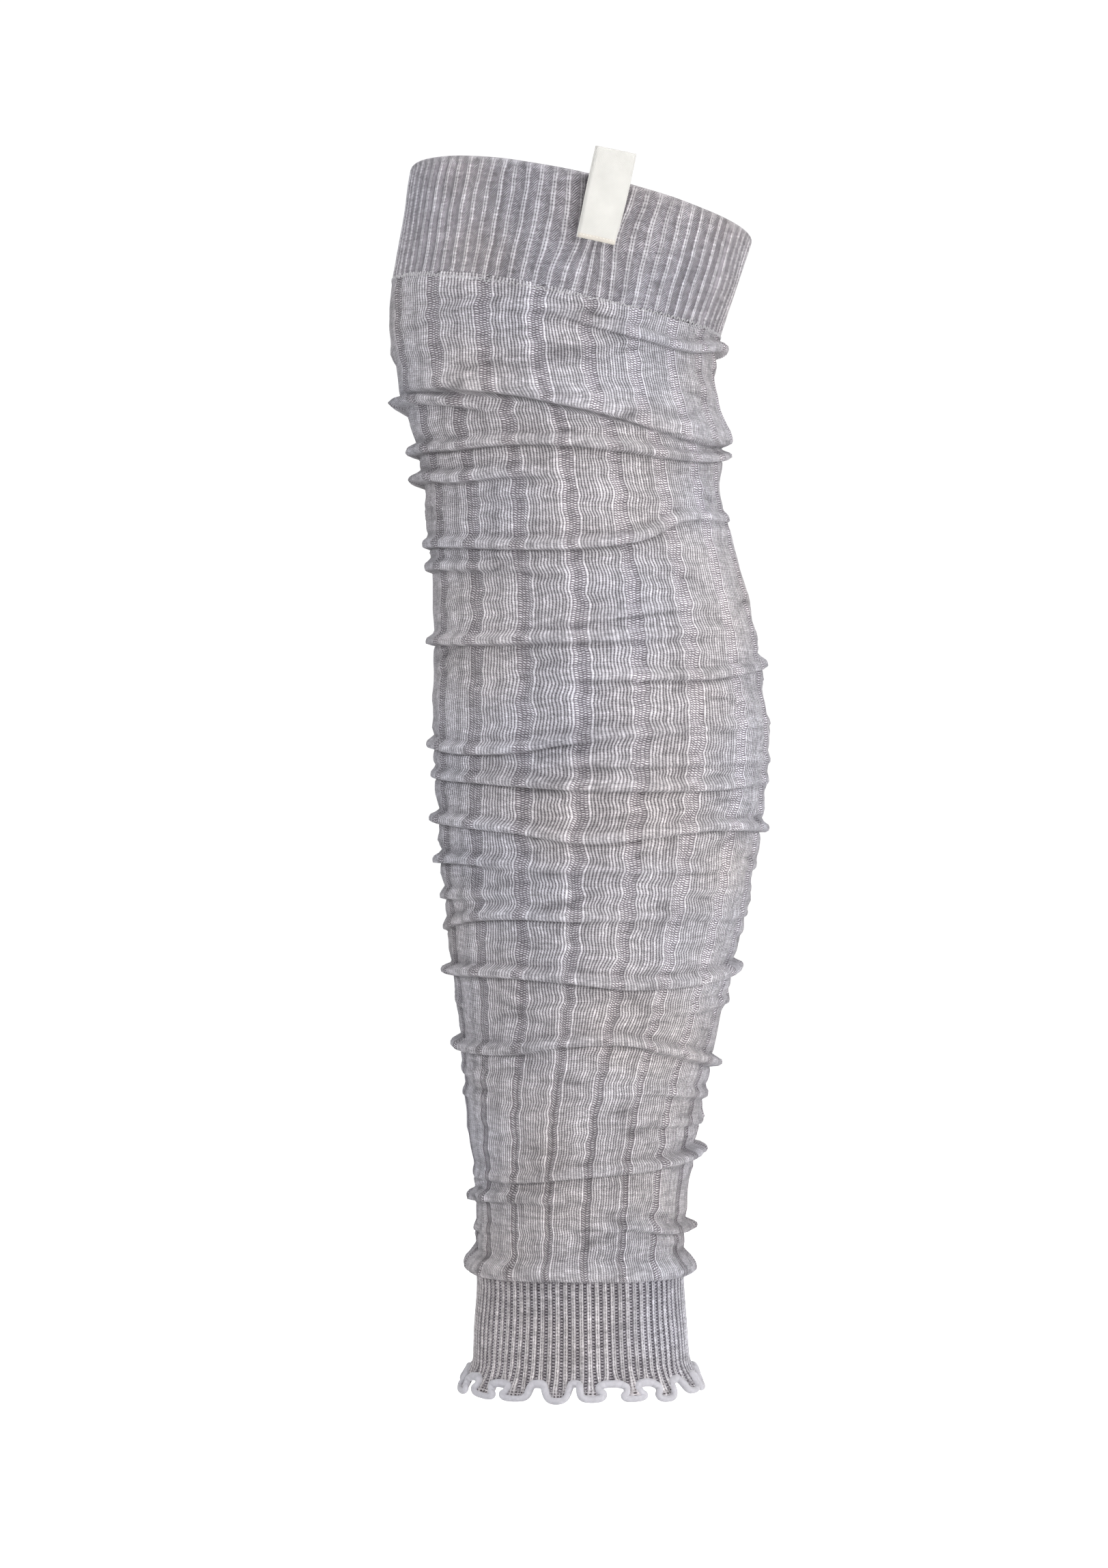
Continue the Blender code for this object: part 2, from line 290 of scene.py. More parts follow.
def meshPiece(name, points, faces, layer=None, places=None):
    mesh = bpy.data.meshes.new(name)
    mesh.from_pydata(np.reshape(points, (-1, 3)) * mm, [], faces)
    if layer:
        mesh.uv_layers.new(name=layer).data.foreach_set("uv", np.asarray(places, np.float32).ravel())
    mesh.shade_smooth()
    piece = bpy.data.objects.new(name, mesh)
    scene.collection.objects.link(piece)
    return piece


def markPoints(piece, name, values):
    # a number for each point from the first on, and nought for the rest
    spread = np.zeros(len(piece.data.vertices), np.float32)
    spread[:values.size] = values.ravel()
    piece.data.attributes.new(name, "FLOAT", "POINT").data.foreach_set("value", spread)


def clothPiece(name, outer, inner, strandsRound, strandsTotal, down, course):
    # a closed thin wall of cloth: outer and inner are grids of points, rows from the top down
    faces, places, numbers = [], [], []
    start = 0
    innerRound = np.arange(inner.shape[1]) / inner.shape[1] * strandsTotal
    # seen from outside, turns run anticlockwise from above, so columns run to the right
    for grid, u, v, order in (
        (outer, strandsRound, down, (3, 2, 1, 0)),
        (inner, innerRound, stitchCount(inner, course), (0, 1, 2, 3)),
    ):
        rows, columns = grid.shape[:2]
        corners, row, column = gridQuads(rows, columns, order=order)
        faces += (corners + start).tolist()
        u = np.append(u, strandsTotal)
        places.append(np.stack([u[column], v[row, column % columns]], -1).reshape(-1, 2))
        numbers.append(start + np.arange(rows * columns).reshape(rows, columns))
        start += rows * columns

    # the two edges, where the grids have different numbers of columns
    for edge, flip in ((0, False), (-1, True)):
        a, b = (block[edge].tolist() for block in numbers)
        i = j = 0
        while i < len(a) or j < len(b):
            if (i + 1) * len(b) <= (j + 1) * len(a):
                face = (a[i % len(a)], a[(i + 1) % len(a)], b[j % len(b)])
                i += 1
            else:
                face = (a[i % len(a)], b[(j + 1) % len(b)], b[j % len(b)])
                j += 1
            faces.append(face[::-1] if flip else face)
            places.append([(strandsRound[min(i, len(a) - 1)], down[edge, 0])] * 3)
    points = np.concatenate([outer.reshape(-1, 3), inner.reshape(-1, 3)])
    return meshPiece(name, points, faces, "stitches", np.concatenate(places))


print("yarn, thread and ribbon")


def blendColours(tree, kind, factor, *colours):
    first, second = (colour if isinstance(colour, Wire) else (*colour, 1) for colour in colours)
    return addNode(tree, "Mix", 2, {0: factor, 6: first, 7: second}, data_type="RGBA", blend_type=kind)


def noiseOnCloth(tree, scale, detail=2.0, roughness=0.5, shift=0.0):
    # scale is how many a metre, the same each way or along x, y and z
    scales = scale if isinstance(scale, tuple) else (scale, scale, scale)
    place = addNode(tree, "TexCoord", "Object")
    moved = {"Vector": place, "Scale": scales, "Location": (shift, shift, shift)}
    place = addNode(tree, "Mapping", "Vector", moved)
    inputs = {"Vector": place, "Scale": 1, "Detail": detail, "Roughness": roughness}
    return addNode(tree, "TexNoise", "Fac", inputs)


def remap(value, low, high, newLow, newHigh):
    limits = {"From Min": low, "From Max": high, "To Min": newLow, "To Max": newHigh}
    return addNode(value.socket.id_data, "MapRange", "Result", {"Value": value, **limits})


def cloudy(tree, scale, detail, roughness, darkest, lightest):
    # a tone that drifts over the cloth
    return remap(noiseOnCloth(tree, scale, detail, roughness), 0.3, 0.7, darkest, lightest)


def ramp(value, stops):
    colour = addNode(value.socket.id_data, "ValToRGB", "Color", {"Fac": value})
    elements = colour.socket.node.color_ramp.elements
    while len(elements) < len(stops):
        elements.new(0.5)
    for element, (position, shade) in zip(elements, stops):
        element.position = position
        element.color = (*shade, 1)
    return colour


def attribute(tree, name):
    return addNode(tree, "Attribute", "Fac", attribute_name=name)


def layerPlace(tree, layer):
    # the two coordinates of a uv layer
    place = addNode(tree, "UVMap", "UV", uv_map=layer)
    return [addNode(tree, "SeparateXYZ", axis, {"Vector": place}) for axis in "XY"]


def dress(tree, shader, colour, tone, height, look):
    # tone scales the colour, and height stands out as relief
    toned = addNode(tree, "VectorMath", "Vector", {0: colour, "Scale": tone}, operation="SCALE")
    bumped = addNode(tree, "Bump", "Normal", {"Height": height, "Distance": look["relief"]})
    tree.links.new(toned.socket, shader["Base Color"])
    tree.links.new(bumped.socket, shader["Normal"])
    for name, value in look["finish"].items():
        shader[name].default_value = value


yarn = {
    "gap": (0.05, 0.042, 0.045),
    "shade": (0.205, 0.19, 0.205),
    "middle": (0.445, 0.432, 0.455),
    "light": (0.705, 0.701, 0.721),
    # dark, middle and light of the loops between the ribs, in the leg, thigh cuff and ankle cuff
    "purl": ((0.075, 0.062, 0.068), (0.25, 0.232, 0.253), (0.66, 0.652, 0.675)),
    "rungs": ((0.13, 0.116, 0.13), (0.29, 0.276, 0.298), (0.5, 0.488, 0.52)),
    "ladder": ((0.068, 0.061, 0.072), (0.235, 0.226, 0.25), (0.5, 0.49, 0.525)),
    "rim": (0.5, 0.492, 0.515),
    "rolled": 0.75,  # how far the rim takes on its own colour
    # pale grey painted on the fold crests as a highlight, which also evens out their stitches
    "crestHighlight": (0.5, 0.5, 0.528),
    "cool": (0.982, 0.98, 1.035),
    "warm": (1.035, 0.987, 0.972),
    "hueScale": (16, 16, 20),
    # noises that change the tone: how many a metre, detail, roughness, darkest and lightest
    "streaks": ((150, 150, 800), 3, 0.65, 0.66, 1.16),
    "patches": ((60, 60, 130), 3, 0.6, 0.87, 1.1),
    "stitchTones": (0.82, 1.12),
    "strandTones": (0.82, 1.16),
    "opened": 0.46,  # stretched strips show more light loops
    "wobble": 0.5,  # strands, how far they wander
    "slant": 1.1,  # courses that each side of a V climbs in one strand
    "fuzz": 0.3,
    "relief": 0.5 * mm,
    "finish": {
        "Roughness": 0.92, "Specular IOR Level": 0.15, "Sheen Weight": 0.3, "Sheen Roughness": 0.45,
        "Sheen Tint": (0.95, 0.95, 1, 1),
    },
}


def knitMaterial(name, knit):
    # each rib is a purl strip and then plain knit, counted in strands across
    rib, strip, look = knit["rib"], knit["strip"], knit["look"]
    material, tree, shader = newMaterial(name)
    u, v = layerPlace(tree, "stitches")
    across = u + (noiseOnCloth(tree, 330, 2, 0.6) - 0.5) * yarn["wobble"]
    down = v + (noiseOnCloth(tree, 260, 2, 0.6, 7.3) - 0.5) * (2.4 * yarn["wobble"])
    inRib = across % rib
    half = strip / 2
    nearest = calc("MINIMUM", abs(inRib - half), abs(inRib - (rib + half)))
    inPurl = calc("DIVIDE", half + 0.1 - nearest, 0.25, clamp=True)
    atEdge = calc("LESS_THAN", nearest, half + 1.0) * (1.0 - inPurl)

    # plain knit: each strand is a chain of small Vs, with dark dots between the strands
    side = abs(calc("FRACT", inRib) - 0.5)
    climb = abs(inRib - (strip + 1.0)) if look["tilt"] else side
    stroke = down + climb * yarn["slant"]
    strokeRound = hump(stroke)
    sideRound = 1.0 - side * side * 4.0
    bridge = (1.0 - strokeRound) ** 0.6 * (1.0 - sideRound)
    knitHeight = sideRound ** look["sharpness"] * (0.78 + strokeRound * 0.22) + bridge * look["bridge"]

    # purl: narrow ribs show single slanted rungs, the leg broken rows of loops out of step with
    # their neighbours, four side by side or two where the strip is narrow
    if look["tilt"]:
        row = down * look["rungs"] + calc("FRACT", inRib) * look["tilt"]
        wave = calc("SINE", inRib * (math.pi / strip))
    else:
        wave = calc("SINE", inRib * math.pi)
        narrowWave = calc("SINE", inRib * (math.pi / 2))
        isNarrow = calc("GREATER_THAN", attribute(tree, "drawnIn"), 0.5)
        wave = wave + isNarrow * (narrowWave - wave)
        row = down + wave * 0.24
    rowRound = hump(row)
    spread = abs(wave)
    joined = (1.0 - rowRound) * (1.0 - spread)
    purlHeight = rowRound ** look["thinness"] * (0.4 + spread * 0.6) + joined * 0.55

    light = tuple(look["bright"] * part for part in yarn["light"])
    knitStops = [(0.05, yarn["gap"]), (0.4, yarn["shade"]), (0.68, yarn["middle"]), (0.95, light)]
    purlColour = ramp(purlHeight, [*zip((0.18, 0.5, 0.86), yarn[look["loops"]])])
    # painted highlight on the fold crests
    knitColour = blendColours(tree, "MIX", attribute(tree, "crestHighlight"), ramp(knitHeight, knitStops), yarn["crestHighlight"])
    colour = blendColours(tree, "MIX", inPurl, knitColour, purlColour)
    colour = blendColours(tree, "MIX", attribute(tree, "rolled") * yarn["rolled"], colour, yarn["rim"])
    dot = (hump(across * 0.9) * hump(v)) ** 1.6
    sewing = ramp(dot, [(0.25, yarn["rim"]), (0.65, yarn["gap"])])
    colour = blendColours(tree, "MIX", attribute(tree, "sewn"), colour, sewing)

    # heather: single stitches, whole strands, short streaks along the courses, and slow drifts of hue, with
    # painted shade in the creases taken off the tone
    strand = calc("FLOOR", across)
    cell = addNode(tree, "CombineXYZ", "Vector", {"X": strand, "Y": calc("FLOOR", stroke)})
    single = addNode(tree, "TexWhiteNoise", "Value", {"Vector": cell}, noise_dimensions="2D")
    whole = addNode(tree, "TexWhiteNoise", "Value", {"W": strand}, noise_dimensions="1D")
    tone = remap(single, 0, 1, *yarn["stitchTones"]) * remap(whole, 0, 1, *yarn["strandTones"])
    tone = tone * cloudy(tree, *yarn["streaks"]) * cloudy(tree, *yarn["patches"])
    tone = tone * (1.0 + atEdge * (look["edge"] - 1.0))
    tone = tone * (1.0 + attribute(tree, "opened") * inPurl * yarn["opened"])
    # painted shade: darker in the fold creases, the crumple dents and beside the label
    tone = tone * (1.0 - attribute(tree, "paintedShade"))
    drift = remap(noiseOnCloth(tree, yarn["hueScale"], 1, 0.5), 0.35, 0.65, 0, 1)
    tint = blendColours(tree, "MIX", drift, yarn["cool"], yarn["warm"])
    colour = blendColours(tree, "MULTIPLY", 1.0, colour, tint)
    fuzz = noiseOnCloth(tree, 2600, 2, 0.7) * yarn["fuzz"]
    dress(tree, shader, colour, tone, knitHeight + inPurl * (purlHeight - knitHeight) + fuzz, yarn)
    return material


thread = {
    "light": (0.5, 0.492, 0.532),
    "dark": (0.475, 0.466, 0.502),
    "clouds": (450, 4, 0.7, 0.86, 1.1),
    "wander": 3.0,  # wraps, how far they stray from even
    "wrap": 0.42,  # mm from one wrap to the next
    "relief": 0.02 * mm,
    "finish": {"Roughness": 0.8, "Specular IOR Level": 0.2, "Sheen Weight": 0.4, "Sheen Roughness": 0.4},
}


def threadMaterial(name):
    material, tree, shader = newMaterial(name)
    u, v = layerPlace(tree, "wraps")
    wrapRound = hump(u + v + noiseOnCloth(tree, 700, 2, 0.6) * thread["wander"])
    colour = ramp(wrapRound, [(0.0, thread["dark"]), (0.55, thread["light"])])
    dress(tree, shader, colour, cloudy(tree, *thread["clouds"]), wrapRound, thread)
    return material


ribbon = {
    "light": (0.69, 0.682, 0.655),
    "shade": (0.6, 0.59, 0.56),
    "foot": (0.66, 0.6, 0.53),
    "footHeight": 1.7,  # mm of creamier cloth below its sewing
    "footShare": 0.7,
    "clouds": (150, 2, 0.5, 0.94, 1.03),
    "thread": 0.22,  # mm from one warp thread to the next
    "relief": 0.06 * mm,
    "finish": {"Roughness": 0.6, "Specular IOR Level": 0.3, "Sheen Weight": 0.15},
}


def ribbonMaterial(name):
    # fine twill: diagonal ribs of warp over weft, in millimetres across and along
    material, tree, shader = newMaterial(name)
    u, v = layerPlace(tree, "weave")
    across, along = u / ribbon["thread"], v / ribbon["thread"]
    warp = abs(calc("SINE", across * math.pi))
    twill = calc("SINE", (across + along) * (math.pi / 1.5))
    weave = warp * 0.5 + twill * 0.25 + 0.25
    colour = ramp(weave, [(0.1, ribbon["shade"]), (0.6, ribbon["light"])])
    foot = calc("LESS_THAN", v, ribbon["footHeight"]) * ribbon["footShare"]
    colour = blendColours(tree, "MIX", foot, colour, ribbon["foot"])
    dress(tree, shader, colour, cloudy(tree, *ribbon["clouds"]), weave, ribbon)
    return material


sewingThread = {
    "seamColour": (0.5, 0.49, 0.515),
    "labelColour": (0.82, 0.8, 0.74),
    "shade": 0.8,
    "relief": 0.08 * mm,
    "finish": {"Roughness": 0.85, "Sheen Weight": 0.3},
}


def plainThread(name, light):
    material, tree, shader = newMaterial(name)
    dark = tuple(sewingThread["shade"] * part for part in light)
    colour = ramp(noiseOnCloth(tree, 900, 3, 0.6), [(0.3, dark), (0.7, light)])
    dress(tree, shader, colour, 1.0, noiseOnCloth(tree, 5000, 2, 0.6), sewingThread)
    return material


print("leg tube")

legKnit = {
    "ribs": 17,
    "stripShare": 0.27,  # of a rib's pitch, for the purl strip
    "stripHeights": (-400, -320, -230, -60),
    "stripWidths": (0.74, 0.8, 1.0, 1.0),  # the strip is narrower towards the ankle, as a share of its width
    "openedTurn": math.radians(330),  # the strips are pulled open towards here
    "openedHeights": (-340, -290),  # from nothing to the full
    "drawnInHeights": (-330, -300),  # below these the strips show two loops and not four
    "strip": 4,  # strands across the strip
    "rib": 16,  # strands across the strip and the plain knit together
    "stripColumns": (1, 0.78, 0.5),  # from the strip's edge towards its middle
    "knitColumns": 12,
    "ribRise": 0.7,
    "lip": 0.12,  # how much a rib's edges stand above its middle, in mm
    "lipWidth": 0.06,
    "wall": 1.3,
    "innerGrid": (44, 85),  # rows and columns of the inside
    "course": 0.9,  # mm from one row of stitches to the next
    # where the first strip lies, as a share of a rib's pitch, down the leg
    "driftHeights": (-400, -367, -331, -292, -219, -166, -127, -92, -75, -70, -61, -56, -26, 0),
    "drift": (-0.41, -0.43, -0.42, -0.14, 0.03, 0.14, 0.12, 0.21, 0.05, 0.02, 0.01, 0.0, -0.05, -0.08),
    # how much closer together the ribs lie towards the outer side
    "crowding": (0.02, 0.02, 0.08, 0.06, 0.04, 0.035, 0.08, 0.1, 0.15, 0.16, 0.2, 0.2, 0.21, 0.21),
    "crowdedTurn": 0.7,
    "lapShift": 0.25,  # how far the ribs are out of line across the lap, as a share of their pitch
    "lapLength": 3.5,  # mm down the leg for that
    "swayRadius": 60,  # mm of cloth to a radian
    "calmEnds": 4,  # mm beside the seams where the cloth lies still
    "rowSpacing": 1.3,
    "look": {
        "loops": "purl", "edge": 1.15, "bright": 1.0, "sharpness": 1.35, "bridge": 0.72, "thinness": 1.0,
        "tilt": 0,
    },
    # a fold's shape: mm above and below its crest, and shares of its rise
    "fold": {
        "crest": 2.0,  # how far above its crest a fold stays high
        "under": 1.5,  # and below it
        # crest and under of the folds with another shape, counted from the top from nought:
        # the lap hangs over the cloth below it, and the last fold is a thick tube
        "wide": {1: (8, 0.9), 4: (2.4, 1.4), 25: (4.6, 2.3)},
        "lap": 1,
        "lapRound": 1.4,  # the lap's edge is sharp over the outer side and rounds off at the shin and calf
        "tall": 3,  # a fold that rises more than this comes to a round tip
        "tallRange": 2,
        "blunt": 4,  # the power of a low fold's section
        "sharper": 1.7,
        "narrower": 0.25,
        "thick": 3,  # a fold as wide as this keeps its width when it is tall
        "crowd": 0.42,  # of the way to the fold above, for the widest crest
        "puff": 8,
        "puffShare": 0.08,
        "puffRoom": 0.85,
        "topRoom": 30,
        "droop": 0.28,
        "fat": 0.7,  # how much a roll widens past its root
        "tuck": 0.75,  # how far the cloth goes in right under a fold
        "tuckWidth": 0.75,
        "tuckBelow": 0.4,
        "dip": 0.6,  # and over it, where the cloth hollows before it rolls out
        "dipWidth": 1.2,
        "dipAbove": 0.9,
        "dipShade": 0.2,
        "shade": 0.58,
        # share of painted highlight on the crests
        "crestHighlight": 0.35,
        "sway": 1.3,  # how far the stitches of a 3 mm fold lean to the shin
        "swayReach": (4.5, 3),  # above and below
        "uneven": 0.16,
        "flatter": 0.27,  # folds stand out most at the shin and calf
    },
    "crumples": {
        "seed": 4, "count": 340, "width": (4, 12), "height": (1.2, 2.6), "size": (0.3, 1.0),
        "slope": (-0.3, 0.3), "lowest": -392, "span": 368, "gather": 1.25, "radius": 50, "bow": 0.02,
        "dent": 0.8, "shade": 0.5,
    },
}

foldTurns = np.radians((0, 50, 90, 130, 180, 205, 230, 255, 280, 305, 330))
# each fold's height and rise at those turns, in mm
slouchFolds = [
    ((-37.5, -36, -31, -26, -24, -26, -28, -29.5, -35, -39, -41),
     (3.8, 2.1, 1.2, 0.3, 0, 0, 0.3, 1.2, 2.6, 3.2, 2.9)),
    ((-72.3, -68.9, -64, -58, -55, -56, -59, -63.5, -68, -73, -75),
     (3.4, 3.3, 2.8, 1.6, 0.8, 2.2, 3.2, 3.2, 3.4, 3.6, 3.2)),
    ((-75, -72.5, -69, -62.6, -57.8, -61.1, -66.5, -70.5, -74, -77.5, -78),
     (0, 0, 0.6, 2.4, 5, 3, 0.6, 0, 0, 0, 0)),
    ((-77.6, -75.6, -76, -76, -76.8, -78, -77.5, -78.3, -80.2, -82, -81.4),
     (3.2, 2.8, 2.6, 2.9, 3.8, 3, 3, 3, 3.2, 3.2, 2.9)),
    ((-90, -91, -92, -89.5, -87.7, -90.3, -90, -91, -93, -94, -92),
     (0, 0.8, 2.2, 3.2, 5.4, 3, 1.4, 0.4, 0, 0, 0)),
    ((-102.5, -105, -110, -112.3, -113, -114.8, -116.3, -116.6, -114, -105.5, -104),
     (1.4, 2, 2.6, 2.2, 1.9, 2.4, 3, 2.8, 3, 2.6, 1.6)),
    ((-122, -124, -126, -123, -121.5, -123.6, -125, -126, -126, -124, -122),
     (0, 0.6, 1.6, 2.2, 2.7, 1.8, 0.8, 0.2, 0, 0, 0)),
    ((-137, -139, -141, -143, -144, -145, -146, -144.8, -141, -138.5, -137),
     (0, 0, 0, 0, 0, 0, 0.6, 1.4, 1.6, 0.4, 0)),
    ((-146, -147, -148, -149, -149.9, -151.3, -151.7, -151.2, -150.5, -149, -147),
     (0.3, 1.2, 2.2, 2.8, 2.9, 3, 3.2, 2.8, 1.8, 0.6, 0.2)),
    ((-157.5, -159, -161, -163, -164, -165, -165.8, -165.8, -165.5, -164.6, -161),
     (3.3, 2.5, 2.4, 1, 0, 0, 0, 0.8, 2.2, 2.6, 2.9)),
    ((-181, -182, -184, -187, -190, -192.4, -192.2, -188.2, -186.1, -184.5, -182.5),
     (0.8, 1.4, 2, 2.6, 2.4, 3, 3.4, 2.6, 1.6, 0.8, 0.4)),
    ((-196, -196, -196.5, -196.5, -196, -197.5, -198.3, -197.8, -197.8, -197, -196.5),
     (0.8, 1.2, 1.8, 1, 0.4, 0.2, 0.4, 1.2, 1.6, 1.4, 0.8)),
    ((-203.6, -204, -204.5, -203, -201.5, -203, -204.6, -206.2, -206.6, -206.3, -204.4),
     (0.4, 1.3, 2, 2, 2.2, 2.4, 2.8, 2.8, 2.6, 2.2, 1.4)),
    ((-222.3, -222, -221, -219.5, -218.3, -219.8, -222.3, -226, -224.3, -221.4, -221.4),
     (2.9, 2.5, 2.6, 2.8, 3, 2.8, 2.4, 2.4, 2.4, 2.2, 2.4)),
    ((-237, -238, -238, -236, -234.2, -234.2, -236, -237, -237, -237, -237),
     (1, 1.4, 1.8, 2.4, 3.2, 2.2, 1.2, 0.9, 1, 0.8, 0.5)),
    ((-246, -247, -248, -248.5, -248.3, -247.5, -246.5, -246, -246, -246, -246),
     (0.4, 0.8, 0.6, 1, 2.2, 1.2, 0.3, 0.2, 0.3, 0.5, 0.4)),
    ((-255.3, -256, -257, -259, -260, -256, -254.4, -255, -254.6, -255, -255.3),
     (0.8, 1.7, 2, 1.7, 1.5, 1.7, 2.6, 2.4, 1.4, 0.8, 0.8)),
    ((-275.6, -276, -277, -277.5, -277, -276.4, -276.3, -278, -280.3, -280, -278),
     (3.8, 3.7, 3.6, 4, 4.6, 4.2, 3.8, 4, 4, 4, 3.9)),
    ((-288.7, -289, -290, -290, -290, -290, -290, -290.5, -291, -291, -290),
     (1.2, 1.5, 0.5, 0, 0, 0, 0, 0, 0.2, 0.5, 1.1)),
    ((-312.6, -311.5, -308, -305.5, -305.2, -306.2, -305.3, -302.3, -301.3, -305, -309),
     (3.7, 3.1, 3.2, 3.3, 3.7, 3.3, 3.2, 3.2, 3.4, 3.6, 3.5)),
    ((-325, -324, -321, -317, -315.6, -316.5, -318, -320, -321, -321, -323),
     (1.4, 0.8, 0.5, 0.6, 0.8, 0.6, 0.4, 0.2, 0.4, 1, 1.4)),
    ((-335, -334, -331, -327, -324.4, -325, -328, -330, -331, -333, -334.3),
     (1.2, 0.8, 0, 0.6, 0.8, 0.6, 0, 0, 0.2, 0.6, 1)),
    ((-346.3, -347.6, -350, -353.5, -355.5, -355.3, -355, -353, -351.3, -350, -348),
     (5.8, 4.8, 3, 1.8, 0.6, 0.8, 1.6, 2.8, 3.4, 3.8, 5.2)),
    ((-366, -366, -366, -365.5, -364.6, -363.6, -362.5, -362.5, -363.5, -364.5, -366),
     (0, 0.6, 1.6, 3.4, 3.6, 3.6, 2.8, 1.6, 0.4, 0, 0)),
    ((-375.9, -377.5, -377.5, -377, -377, -376, -374, -373, -372, -372.5, -375.1),
     (4.5, 3.8, 2, 0.8, 0.5, 0.4, 0.2, 0, 0.4, 1.4, 3.3)),
    ((-392.2, -391.5, -391, -391, -390.8, -392.2, -391.8, -391.4, -391.2, -391.8, -391.9),
     (4.6, 4.2, 4, 4.2, 4.6, 4.2, 4.4, 4.6, 4.4, 4.2, 4.4)),
]


def ribTwist(turn, height, lapHeight):
    # how far a rib lies from its even place round the leg
    levels = np.array(legKnit["driftHeights"], float)
    passed = np.clip((lapHeight + 0.5 - height) / legKnit["lapLength"], 0, 1)
    shift = legKnit["lapShift"] * passed**2 * (3 - 2 * passed)
    drift = (smoothCurve(levels, np.array(legKnit["drift"]), height) + shift) * fullTurn / legKnit["ribs"]
    crowding = smoothCurve(levels, np.array(legKnit["crowding"]), height)
    return drift - crowding * np.cos(turn + drift - legKnit["crowdedTurn"])


def foldLift(turn, height, crests, rises):
    # how far the folds push the cloth out, let it hang and lean it to the shin, and how much painted shade
    # darkens each crease and painted highlight lightens each crest
    shape = legKnit["fold"]
    out, hang, sway, paintedShade, crestHighlight = np.zeros((5, *height.shape))
    dice = np.random.default_rng(6)
    for k, (crest, rise) in enumerate(zip(crests, rises)):
        above = height - crest
        room = crests[k - 1] - crest if k else np.full_like(crest, shape["topRoom"])
        tall = np.clip((rise - shape["tall"]) / shape["tallRange"], 0, 1)
        width, under = shape["wide"].get(k, (shape["crest"], shape["under"]))
        isLap = k == shape["lap"]
        if width < shape["thick"]:
            width = width * (1 - shape["narrower"] * tall)
        if isLap:
            under = under + shape["lapRound"] * np.cos(turn) ** 4
        under = under * (1 + shape["narrower"] * tall)
        blunt = shape["blunt"] - shape["sharper"] * tall
        kept = np.minimum(width, shape["crowd"] * room)
        upper = np.exp(-(np.abs(above) / kept) ** (2 if isLap else blunt))
        lower = np.exp(-(np.abs(above) / under) ** blunt)
        core = np.where(above > 0, upper, lower)
        reach = np.minimum(shape["puff"], shape["puffRoom"] * room)
        puff = np.where(above > 0, np.clip(1 - above / reach, 0, 1) ** 2, lower)
        sharp = np.clip(rise / 2, 0, 1)
        valley = bell((above + under + shape["tuckBelow"]) / shape["tuckWidth"])
        dip, fat = 0, 0
        if not isLap:
            span = 1.3 * kept + shape["dipAbove"]
            dip = bell((above - span) / shape["dipWidth"]) * sharp * np.clip(room / 5 - 1, 0, 1)
            side = np.clip(above / np.where(above > 0, width, under), -2, 2)
            fat = shape["fat"] * np.clip(rise / 3, 0, 1.3) * side * core
        bulge = (1 - shape["puffShare"]) * core + shape["puffShare"] * puff
        out += rise * bulge - shape["tuck"] * sharp * valley - shape["dip"] * dip
        hang += shape["droop"] * np.minimum(rise, 3) * (1 - 0.8 * tall) * core - fat
        swing = bell((above - 1) / np.where(above > 1, *shape["swayReach"]))
        sway += shape["sway"] * rise / 3 * swing * dice.uniform(0.4, 1.3)
        # painted shade in the tuck under each fold and in the hollow above it
        paintedShade = np.maximum(paintedShade, np.maximum(shape["shade"] * sharp * valley, shape["dipShade"] * dip))
        # painted highlight along each fold's crest
        crestHighlight = np.maximum(crestHighlight, shape["crestHighlight"] * sharp * core)
    return out, hang, sway, paintedShade, crestHighlight


def smallCrumples(turn, height):
    # short shallow creases between the folds, each a soft ridge over a sharper dent
    kind = legKnit["crumples"]
    dice = np.random.default_rng(kind["seed"])
    out, paintedShade = np.zeros((2, *height.shape))
    for _ in range(kind["count"]):
        where = dice.uniform(0, fullTurn)
        level = kind["lowest"] + kind["span"] * dice.uniform(0, 1) ** kind["gather"]
        ranges = (kind[name] for name in ("width", "height", "size", "slope"))
        wide, tall, size, slope = (dice.uniform(*limits) for limits in ranges)
        bow = kind["bow"] * dice.choice((-1, 1))
        beside = (np.mod(turn - where + math.pi, fullTurn) - math.pi) * kind["radius"]
        above = height - level - slope * beside - bow * beside**2
        fade = bell(beside / wide)
        dent = bell((above + 0.5 * tall) / (0.6 * tall)) * fade
        out += size * (bell((above - tall) / (1.2 * tall)) * fade - kind["dent"] * dent)
        # painted shade in each dent
        paintedShade = np.maximum(paintedShade, kind["shade"] * size * dent)
    return out, paintedShade


def legRows(top, bottom, crests):
    # rows of points along the folds: close together at each crest, wider between them
    marks = [top, *crests, bottom]
    rows = [top]
    for upper, lower in zip(marks, marks[1:]):
        count = max(4, round(float(np.mean(upper - lower)) / legKnit["rowSpacing"]) + 1)
        pull = 0.62 if count > 6 else 0.35
        for step in range(1, count + 1):
            share = step / count
            share -= pull * math.sin(fullTurn * share) / fullTurn
            rows.append(upper + (lower - upper) * share)
    return np.array(rows)


def legColumns():
    # turns, strands, relief and the share of a rib's pitch for each column, a strip and then plain knit
    ribs, strip, rib, rise = (legKnit[name] for name in ("ribs", "strip", "rib", "ribRise"))
    half = legKnit["stripShare"] / 2
    edge, slope, inner = (share * half for share in legKnit["stripColumns"])
    stripShares = np.array((-edge, -slope, -inner, 0, inner, slope))
    knitShares = np.linspace(0, 1, legKnit["knitColumns"] + 1)[:-1]
    shares = np.concatenate([stripShares, half + (1 - 2 * half) * knitShares])
    strands = [*((stripShares + half) / (2 * half) * strip), *(strip + knitShares * (rib - strip)), rib]
    relief = [0, -0.6 * rise, -rise, -rise, -rise, -0.6 * rise]
    for share in knitShares:
        nearEdges = math.exp(-share / legKnit["lipWidth"]) + math.exp(-(1 - share) / legKnit["lipWidth"])
        relief.append(legKnit["lip"] * nearEdges)
    turns, strandsRound = ribColumns(ribs, shares, strands)
    return turns, strandsRound, np.tile(relief, ribs), np.tile(shares, ribs)


